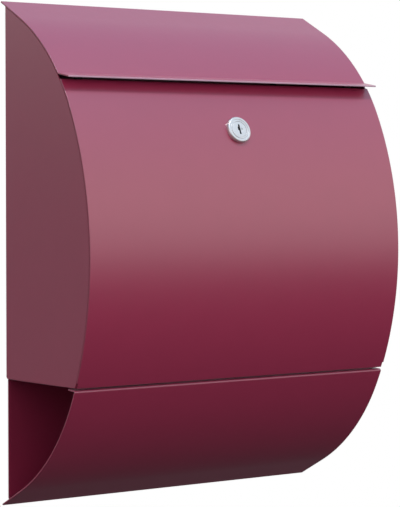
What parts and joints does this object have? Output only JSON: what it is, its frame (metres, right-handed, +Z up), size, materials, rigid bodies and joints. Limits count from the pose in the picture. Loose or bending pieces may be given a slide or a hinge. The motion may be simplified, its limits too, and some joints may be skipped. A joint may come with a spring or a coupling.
{
  "type": "wall mounted post box",
  "caption": "Wall mounted sheet metal post box with a curved front: letter flap, locking door and an open newspaper tray below.",
  "frame": {"origin": "centre of the four mounting holes, on the surface of the wall", "axes": "+Z up, +Y into the wall, +X to the right of someone facing the box"},
  "size_m": [0.372, 0.1549, 0.48],
  "materials": {
    "powder_coat": "smooth satin wine-red powder coat on sheet steel",
    "zinc_steel": "zinc-plated steel, dull",
    "rivet_metal": "plain aluminium rivets",
    "lock_metal": "bright plated zinc casting",
    "bush_plastic": "moulded black plastic",
    "buffer_rubber": "soft black rubber"
  },
  "bodies": {
    "housing": {"housing": "powder_coat", "compartment_floor": "powder_coat", "strike_rail": "powder_coat", "newspaper_tray": "powder_coat", "flap_hinge_fixed_leaf": "zinc_steel", "flap_hinge_rod": "zinc_steel", "door_hinge_fixed_leaf": "zinc_steel", "door_hinge_rod": "zinc_steel", "tray_rivets": "rivet_metal", "flap_hinge_rivets": "rivet_metal", "door_hinge_rivets": "rivet_metal", "wall_bushes": "bush_plastic", "flap_buffers": "buffer_rubber", "door_buffers": "buffer_rubber"},
    "flap": {"flap_panel": "powder_coat", "flap_hinge_moving_leaf": "zinc_steel"},
    "door": {"door_panel": "powder_coat", "door_hinge_moving_leaf": "zinc_steel", "lock_housing": "lock_metal", "lock_washer": "zinc_steel", "lock_nut": "zinc_steel"},
    "lock_core": {"lock_plug": "lock_metal", "lock_stop_disc": "zinc_steel", "lock_cam": "zinc_steel", "cam_spring_washer": "zinc_steel", "cam_screw": "zinc_steel"}
  },
  "joints": [
    {"name": "flap_hinge", "type": "hinge", "parent": "housing", "child": "flap", "pos_m": [0, -0.00875, 0.18428], "axis": [-1, 0, 0], "range_deg": [0, 80]},
    {"name": "door_hinge", "type": "hinge", "parent": "housing", "child": "door", "pos_m": [0, -0.12874, -0.16535], "axis": [1, 0, 0], "range_deg": [0, 115]},
    {"name": "lock_turn", "type": "hinge", "parent": "door", "child": "lock_core", "pos_m": [0, -0.13146, 0.0678], "axis": [0, 0.9237, -0.3832], "range_deg": [0, 90]}
  ]
}
